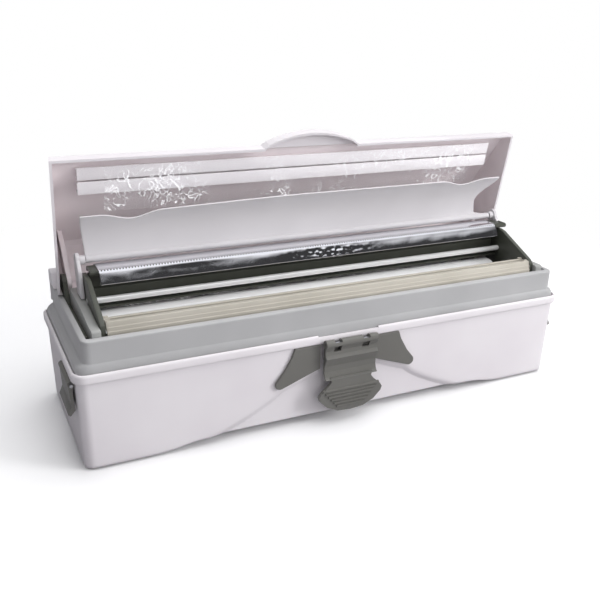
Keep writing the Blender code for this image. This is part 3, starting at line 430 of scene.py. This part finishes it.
def make_collar():
    """Grey frame that holds the cassette: upright walls over a rounded flange."""
    corner = 8.0
    bm = rounded_box(COLLAR_X, COLLAR_Y, 97.0, 115.0, corner)
    bmesh.ops.delete(bm, geom=[f for f in bm.faces if abs(f.normal.z) > 0.9], context="FACES")
    core = (COLLAR_X - corner, COLLAR_Y - corner)
    flare_x, flare_y = 6.9, 2.1
    shares = [(96.6, 0.04), (96.1, 0.14), (95.4, 0.22), (94.4, 0.2), (93.2, 0.16), (91.8, 0.12),
              (90.2, 0.08), (88.4, 0.04), (86.3, 0.0)]
    rim = grow(bm, rim_of(bm, 97.0), [(share * flare_x, share * flare_y, z) for z, share in shares], core)
    grow(bm, rim, [(-8.0, -3.2, 86.3), (0.0, 0.0, 81.0), (-2.4, -2.4, 81.0), (0.0, 0.0, 85.0)], core)
    crown = [(-0.15, -0.15, 115.9), (-0.35, -0.35, 116.6), (-0.6, -0.6, 117.0), (-4.2, -5.9, 117.0),
             (-0.05, -0.1, 116.6), (0.0, 0.0, 85.0)]
    grow(bm, rim_of(bm, 115.0), crown, core)
    loops = rim_of(bm, 85.0)
    bmesh.ops.bridge_loops(bm, edges=loops)
    bmesh.ops.recalc_face_normals(bm, faces=bm.faces)
    return finish(bm, "collar_frame", collar_abs, "base", ["collar"])


# ---- rolls and rod -------------------------------------------------------
def make_rolls():
    """Both windings, and the rod that the foil is drawn over."""
    foil = cylinder(FOIL_AXIS, FOIL_R, ROLL_MID - ROLL_HALF, ROLL_MID + ROLL_HALF, 96, 0.4)
    finish(foil, "foil_winding", wound_foil, "foil_spindle", ["foil_roll"])
    film = cylinder(FILM_AXIS, FILM_R, ROLL_MID - ROLL_HALF, ROLL_MID + ROLL_HALF, 96, 0.4)
    finish(film, "film_winding", wound_film, "film_spindle", ["film_roll"])
    rod = cylinder(ROD_AXIS, ROD_R, -ROD_HALF, ROD_HALF, 48, 0.5)
    finish(rod, "guide_rod_bar", chrome, "rod", ["guide_rod"])


# ---- ends of the cassette ------------------------------------------------
def make_cassette_end(side, hand):
    """End of the cassette: a flat-topped grey block, and a dark plate that rises to the beam."""
    block = [(-75.0, 89.0), (-46.0, 89.0), (-30.0, 76.0), (31.0, 84.6), (31.0, 119.0), (27.0, 127.6),
             (-30.0, 126.6), (-58.0, 122.5), (-73.5, 122.5), (-75.0, 121.0)]
    ends = sorted(side * end for end in BLOCK_ENDS)
    bm = bar(bmesh.new(), "X", block, *ends, width=0.7)
    finish(bm, "cassette_block_" + hand, block_abs, "base", ["cassette_cheek_" + hand])
    plate = [(-70.0, 90.0), (-46.0, 90.0), (-30.0, 76.5), (4.0, 76.5), (4.0, 149.2), (-14.0, 149.2),
             (-20.0, 148.0), (-66.0, 127.8), (-70.0, 124.0)]
    ends = sorted(side * end for end in PLATE_ENDS)
    bm = bar(bmesh.new(), "X", plate, *ends, width=0.6)
    finish(bm, "cassette_plate_" + hand, olive_nylon, "base")


def make_beam_rail():
    """Channel along the top of the beam, hooked over at the front and back."""
    nose = arc((-11.5, 152.5), 2.5, 250.0, 90.0, 10)
    outline = nose + [(4.5, 155.0), (6.5, 153.5), (6.5, 150.0), (4.5, 150.0), (4.5, 152.6), (-6.0, 152.6),
                      (-6.0, 150.0)]
    bm = bar(bmesh.new(), "X", outline, -231.0, 241.0, width=0.3)
    finish(bm, "rail_channel", olive_nylon, "base", ["beam_rail"])


def make_guard():
    """Stepped cover over the blade in two strips, joined at the ends, with toothed end caps."""
    front = [(-72.2, 115.2), (-71.6, 118.6), (-70.9, 119.0), (-70.4, 122.2), (-69.7, 122.6), (-69.0, 126.0),
             (-68.3, 127.0), (-66.4, 127.0), (-65.8, 125.6), (-60.8, 125.6), (-60.8, 122.2), (-67.8, 122.4),
             (-70.3, 115.2)]
    rear = [(-58.4, 122.1), (-58.4, 125.9), (-57.5, 126.4), (-56.6, 125.9), (-56.2, 125.0), (-53.4, 125.0),
            (-52.9, 124.0), (-49.8, 124.0), (-48.6, 121.0), (-48.6, 115.2), (-50.2, 115.2), (-50.2, 121.6)]
    cap = front[2:10] + rear[1:9] + [(-49.2, 119.0)]
    strips = [("guard_front", front, -GUARD_HALF, GUARD_HALF), ("guard_rear", rear, -GUARD_HALF, GUARD_HALF),
              ("guard_cap_left", cap, -230.9, -229.4), ("guard_cap_right", cap, 229.4, 230.9)]
    for name, outline, low, high in strips:
        bm = bar(bmesh.new(), "X", outline, low, high, width=0.25)
        nodes = ["blade_guard"] if name == "guard_front" else ()
        finish(bm, name, cream_acetal, "guard", nodes)
    for number, start_y in enumerate((-66.0, -57.0)):
        tooth = [(start_y, 125.8), (start_y + 2.6, 125.8), (start_y + 2.4, 127.4), (start_y + 0.2, 127.4)]
        for side in (-1, 1):
            ends = sorted((side * 226.4, side * 230.9))
            bm = bar(bmesh.new(), "X", tooth, *ends, width=0.2)
            hand = "left" if side < 0 else "right"
            finish(bm, f"guard_tooth_{hand}_{number}", cream_acetal, "guard")


def make_flap_bracket(side, hand):
    """White upright with a rounded top that holds the end of the flap's rod."""
    outline = [(-9.0, 127.9), (10.0, 127.9), (14.0, 150.0)]
    outline += arc((8.8, 161.2), 5.6, 0.0, 180.0, 10) + [(-4.0, 152.0)]
    ends = sorted(side * end for end in UPRIGHT_ENDS)
    bm = bar(bmesh.new(), "X", outline, *ends, width=0.7)
    finish(bm, "flap_upright_" + hand, white_pp, "base", ["flap_bracket_" + hand])
    ends = sorted(side * end for end in BOSS_ENDS)
    boss = cylinder(FLAP_AXIS, 4.2, *ends, sides=36, edge=0.5)
    finish(boss, "flap_boss_" + hand, white_pp, "base")


def make_press_bar(place, low, high):
    """Channel-shaped rail inside the lid that the film clings to."""
    face, shoulder, web, top = 127.8, 129.6, 129.9, 134.5
    outline = [(low, face), (high, face), (high, shoulder), (high - 1.6, web), (high - 1.6, top),
               (high - 3.4, top), (high - 3.4, web), (low + 3.4, web), (low + 3.4, top), (low + 1.6, top),
               (low + 1.6, web), (low, shoulder)]
    bm = bar(bmesh.new(), "X", outline, *PRESS_BAR_ENDS, width=0.35)
    finish(on_open_lid(bm), "press_channel_" + place, bar_abs, "lid",
           ["press_bar_" + place])


# ---- sheets --------------------------------------------------------------
def along_path(points, distance):
    """The point and the direction at a distance along a bent line."""
    for first, second in zip(points, points[1:]):
        leg = Vector(second) - Vector(first)
        if distance <= leg.length or second == points[-1]:
            return Vector(first) + leg.normalized() * distance, leg.normalized()
        distance -= leg.length


def path_length(points):
    return sum((Vector(b) - Vector(a)).length for a, b in zip(points, points[1:]))


def smooth_path(points, rounds=3):
    """Cut the corners of a bent line so that it runs as a curve."""
    for _ in range(rounds):
        cut = [points[0]]
        for first, second in zip(points, points[1:]):
            a, b = Vector(first), Vector(second)
            cut += [tuple(a.lerp(b, 0.25)), tuple(a.lerp(b, 0.75))]
        points = cut + [points[-1]]
    return points


def hung_sheet(low, high, path, columns, rows, ripple=None):
    """A grid laid along a path in YZ, moved off it by ripple(x, distance), with its flat cut as UVs."""
    length = path_length(path)
    bm = bmesh.new()
    bmesh.ops.create_grid(bm, x_segments=columns, y_segments=rows, size=0.5)
    cut = bm.loops.layers.uv.new("cut")
    flat = {}
    for vert in bm.verts:
        x = low + (vert.co.x + 0.5) * (high - low)
        distance = (vert.co.y + 0.5) * length
        place, run = along_path(path, distance)
        off = Vector((-run.y, run.x)) * (ripple(x, distance) if ripple else 0.0)
        flat[vert.index] = (x * MM, distance * MM)
        vert.co = Vector((x, place.x + off.x, place.y + off.y))
    for face in bm.faces:
        for loop in face.loops:
            loop[cut].uv = flat[loop.vert.index]
    return bm, length


def thicken(piece, thickness_mm):
    step = piece.modifiers.new("thickness", "SOLIDIFY")
    step.thickness = thickness_mm * MM
    step.offset = 0.0


def make_foil_sheet():
    """The loose end of the foil: over the beam's rail and down in front of it."""
    path = smooth_path([(9.6, 118.0), (9.2, 148.0), (8.4, 153.4), (5.4, 156.0), (-3.0, 156.2),
                        (-12.3, 156.1), (-15.4, 154.9), (-17.4, 151.4), (-20.4, 145.6), (-21.4, 143.2)])
    free = path_length(path) - 15.0

    def ripple(x, distance):
        loose = ease((distance - free) / 8.0)
        long_wave = 1.3 * noise.noise(Vector((x / 95.0, distance / 30.0, 1.0)))
        short_wave = 0.22 * noise.noise(Vector((x / 17.0, distance / 9.0, 5.0)))
        torn = math.exp(-((x - 10.0) / 34.0) ** 2)
        crush = torn * 1.1 * noise.noise(Vector((x / 3.2, distance / 3.0, 9.0)))
        return -0.3 + loose * (long_wave + short_wave + crush)

    bm, length = hung_sheet(-224.0, 224.0, path, 320, 70, ripple)
    sheet = finish(bm, "foil_sheet", loose_foil, "base", ["foil_tail"], 180.0)
    thicken(sheet, 0.12)


def on_open_lid(bm):
    """Turn what is modelled on the closed lid back to where the lid stands open."""
    bmesh.ops.rotate(bm, cent=(0.0, *HINGE), matrix=Matrix.Rotation(-LID_OPEN, 3, "X"), verts=bm.verts)
    return bm


def make_film_sheet():
    """The loose end of the cling film, clinging to the press bars and hanging from them."""
    path = smooth_path([(-74.0, 127.2), (-61.0, 127.2), (-48.0, 127.2), (-42.0, 128.6), (-36.0, 130.0),
                        (-29.0, 129.0)])

    def ripple(x, distance):
        loose = ease((distance - 24.0) / 8.0)
        crumple = 2.2 * noise.turbulence(Vector((x / 26.0, distance / 14.0, 2.0)), 4, False)
        fine = 0.5 * noise.noise(Vector((x / 6.0, distance / 5.0, 4.0)))
        cling = 0.12 * noise.noise(Vector((x / 9.0, distance / 5.0, 7.0)))
        return -abs(cling) + loose * (0.6 - crumple * 0.8 + fine)

    bm, length = hung_sheet(-206.0, 210.0, path, 300, 40, ripple)
    sheet = finish(on_open_lid(bm), "film_sheet", loose_film, "lid", ["film_tail"], 180.0)


# ---- divider flap --------------------------------------------------------
def flap_line(steps):
    """Bowed section of the open flap, from its knuckle to its top edge."""
    radius = (FLAP_SPAN ** 2 / 4 + FLAP_BOW ** 2) / (2 * FLAP_BOW)
    half = math.asin(FLAP_SPAN / 2 / radius)
    along = Vector((math.cos(FLAP_LEAN), math.sin(FLAP_LEAN)))
    across = Vector((along.y, -along.x))
    points = []
    for step in range(steps + 1):
        angle = -half + 2 * half * step / steps
        run = FLAP_SPAN / 2 + radius * math.sin(angle)
        rise = radius * math.cos(angle) - (radius - FLAP_BOW)
        points.append(tuple(Vector(FLAP_AXIS) + along * run + across * rise))
    return points


def make_flap():
    """Divider between foil and film: a bowed blade on a knuckle, dipped near its top corners."""
    line = flap_line(48)
    length = path_length(line)
    bm = hung_sheet(-FLAP_HALF, FLAP_HALF, line, 230, 48)[0]
    for vert in bm.verts:
        x = vert.co.x
        share = (vert.co.z - FLAP_AXIS[1]) / (line[-1][1] - FLAP_AXIS[1])
        dips = sum(7.0 * ease(1.0 - abs(x - side * 185.0) / 28.0) for side in (-1, 1))
        lowered = dips + 6.0 * ease(-x / FLAP_HALF)
        place = along_path(line, max(share, 0.0) * (length - lowered * ease(share)))[0]
        if x > 0.0:
            wing = 4.0 - 24.0 * ease((0.98 - share) / 0.6) * ease(share / 0.12)
        else:
            wing = -3.0 * ease(share)
        vert.co = Vector((x + wing * ease((abs(x) - 150.0) / (FLAP_HALF - 150.0)), place.x, place.y))
    flap = finish(bm, "flap_blade", white_pp, "divider", ["divider_flap"], 60.0)
    thicken(flap, 1.6)
    soften(flap, 0.5)
    knuckle = cylinder(FLAP_AXIS, 3.2, -FLAP_HALF, FLAP_HALF, 40, 0.4)
    finish(knuckle, "flap_knuckle", white_pp, "divider")


# ---- nodes that keep their CAD shape -------------------------------------
def soften(piece, width_mm, segments=2):
    """Merge a piece's loose triangles and round its sharp edges."""
    weld = piece.modifiers.new("weld", "WELD")
    weld.merge_threshold = 0.00001
    edge = piece.modifiers.new("soft edges", "BEVEL")
    edge.width = width_mm * MM
    edge.segments = segments
    edge.limit_method = "ANGLE"
    edge.angle_limit = math.radians(30.0)
    edge.use_clamp_overlap = True
    return piece


def dress(names, look, width_mm=0.0):
    """Give CAD nodes their material, and round their edges where a width is given."""
    for name in names:
        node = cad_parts[name]
        for place in node.material_slots:
            place.material = look
        if width_mm:
            soften(node, width_mm)


def paint_light_inside_lid():
    """Give the faces inside the lid a paler white, painted light against the shade that falls inside it."""
    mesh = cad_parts["lid_shell"].data
    mesh.materials.append(lid_inside_abs_painted_light)
    turn = Matrix.Rotation(LID_OPEN, 3, "X")
    pivot = (Vector((0.0, *HINGE)) + Vector(ZERO)) * MM
    middle = (Vector((0.0, -22.0, HINGE[1])) + Vector(ZERO)) * MM
    for face in mesh.polygons:
        place = turn @ (face.center - pivot) + pivot - middle
        if (turn @ face.normal).dot(place) < 0.0:
            face.material_index = len(mesh.materials) - 1


def pair(name):
    return [name + "_left", name + "_right"]


make_tub()
make_collar()
make_rolls()
make_foil_sheet()
make_film_sheet()
make_flap()
make_beam_rail()
make_guard()
make_press_bar("front", -74.0, -62.0)
make_press_bar("rear", -60.4, -48.0)
for hand_side, hand_name in ((-1, "left"), (1, "right")):
    make_cassette_end(hand_side, hand_name)
    make_flap_bracket(hand_side, hand_name)
dress(["lid_shell", "rear_housing"], white_abs, 1.0)
paint_light_inside_lid()
# the lid's arms take the same paler white, painted light against the shade inside the lid
dress(pair("lid_arm"), lid_inside_abs_painted_light, 0.4)
dress(["roll_tray"], collar_abs)
dress(["blade_clamp"], cassette_abs, 0.4)
dress(pair("side_frame") + ["beam_channel", "blade_bed"], olive_nylon, 0.5)
dress(pair("foil_plug") + pair("film_plug"), olive_nylon)
dress(pair("latch_wing") + ["latch_bracket", "latch_lever"] + pair("side_clip"), latch_nylon, 0.4)
dress(["blade", "blade_screw_1", "blade_screw_2", "blade_screw_3", "flap_rod", "latch_pin"], stainless)
dress(pair("cheek_screw") + pair("guard_spring") + pair("clip_pin") + pair("lid_pin"), stainless)
dress(["foil_core", "film_core"], board)
dress([f"rubber_foot_{number}" for number in range(1, 5)], foot_rubber)


# ---- studio --------------------------------------------------------------
def make_floor():
    made, tree, shader = start("matt_white_paper")
    place = add(tree, "ShaderNodeTexCoord").outputs["Object"]
    tooth = add(tree, "ShaderNodeTexNoise", {"Scale": per_mm(300.0), "Detail": 2.0}, {"Vector": place})
    seen = add(tree, "ShaderNodeLightPath").outputs["Is Camera Ray"]
    white = mixed(tree, "#FDFDFD", "#FAFAFB", tooth.outputs[0])
    # the paper is white to the camera and greyer to what it lights
    shade = add(tree, "ShaderNodeMix", {"data_type": "RGBA", 6: linear("#A3A2A5")},
                {0: seen, 7: white}).outputs[2]
    tree.links.new(shade, shader.inputs["Base Color"])
    shader.inputs["Roughness"].default_value = 0.9
    # past the light's reach the paper shows as an even white
    away = add(tree, "ShaderNodeVectorMath", {"operation": "LENGTH"}, {0: place}).outputs["Value"]
    far = add(tree, "ShaderNodeMath", {"operation": "MULTIPLY"},
              {0: seen, 1: ranged(tree, away, 0.0, 1.0, 0.42, 0.8)}).outputs[0]
    glow = add(tree, "ShaderNodeEmission", {"Strength": 1.0})
    both = add(tree, "ShaderNodeMixShader", links={0: far, 1: shader.outputs[0], 2: glow.outputs[0]})
    tree.links.new(both.outputs[0], tree.nodes["Material Output"].inputs["Surface"])
    bm = bmesh.new()
    bmesh.ops.create_grid(bm, x_segments=1, y_segments=1, size=8.0)
    mesh = bpy.data.meshes.new("paper_floor")
    bm.to_mesh(mesh)
    bm.free()
    mesh.materials.append(made)
    floor = bpy.data.objects.new("paper_floor", mesh)
    bpy.context.collection.objects.link(floor)


def add_light(name, place, target, size, power, tint="#FFFFFF"):
    """A soft box: a rectangular area light aimed at a point."""
    data = bpy.data.lights.new(name, "AREA")
    data.shape = "RECTANGLE"
    data.size, data.size_y = size
    data.energy = power
    data.color = linear(tint)[:3]
    light = bpy.data.objects.new(name, data)
    light.location = place
    light.visible_glossy = False
    light.rotation_euler = (Vector(target) - Vector(place)).to_track_quat("-Z", "Y").to_euler()
    bpy.context.collection.objects.link(light)


def make_world():
    world = bpy.data.worlds.new("white_studio")
    world.use_nodes = True
    tree = world.node_tree
    path = add(tree, "ShaderNodeLightPath")
    sky = add(tree, "ShaderNodeTexCoord").outputs["Generated"]
    height = add(tree, "ShaderNodeSeparateXYZ", links={0: sky}).outputs[2]
    soft = tree.nodes["Background"]
    soft.inputs["Color"].default_value = linear("#F4F4F8")
    soft.inputs["Strength"].default_value = 0.38
    # what bright metal mirrors: a dark room with a white ceiling
    room = add(tree, "ShaderNodeBackground", {"Color": linear("#F2F3F6")},
               {"Strength": ranged(tree, height, 0.05, 1.15, 0.52, 0.72)})
    paper = add(tree, "ShaderNodeBackground", {"Color": (1.0, 1.0, 1.0, 1.0), "Strength": 1.0})
    mirrored = add(tree, "ShaderNodeMixShader",
                   links={0: path.outputs["Is Glossy Ray"], 1: soft.outputs[0], 2: room.outputs[0]})
    seen = add(tree, "ShaderNodeMixShader",
               links={0: path.outputs["Is Camera Ray"], 1: mirrored.outputs[0], 2: paper.outputs[0]})
    tree.links.new(seen.outputs[0], tree.nodes["World Output"].inputs["Surface"])
    bpy.context.scene.world = world


def make_camera():
    data = bpy.data.cameras.new("view")
    data.lens = 45.55
    data.sensor_width = 36.0
    camera = bpy.data.objects.new("view", data)
    camera.location = Vector((-0.34452, -0.67480, 0.37656)) + Vector(ZERO) * MM
    heading = Matrix.Rotation(math.radians(-26.08), 4, "Z") @ Matrix.Rotation(math.radians(69.26), 4, "X")
    camera.rotation_euler = (heading @ Matrix.Rotation(math.radians(1.38), 4, "Z")).to_euler()
    bpy.context.collection.objects.link(camera)
    bpy.context.scene.camera = camera


make_floor()
make_world()
make_camera()
middle = (0.0, 0.0, 0.12)
add_light("overhead_box", (0.3, 0.0, 1.9), middle, (2.6, 1.8), 38.0)
add_light("right_box", (1.6, -1.3, 0.8), (0.25, 0.0, 0.12), (0.7, 1.2), 28.0)
add_light("front_box", (0.2, -2.3, 0.9), middle, (1.8, 0.9), 9.5)
bpy.context.scene.view_settings.view_transform = "Standard"
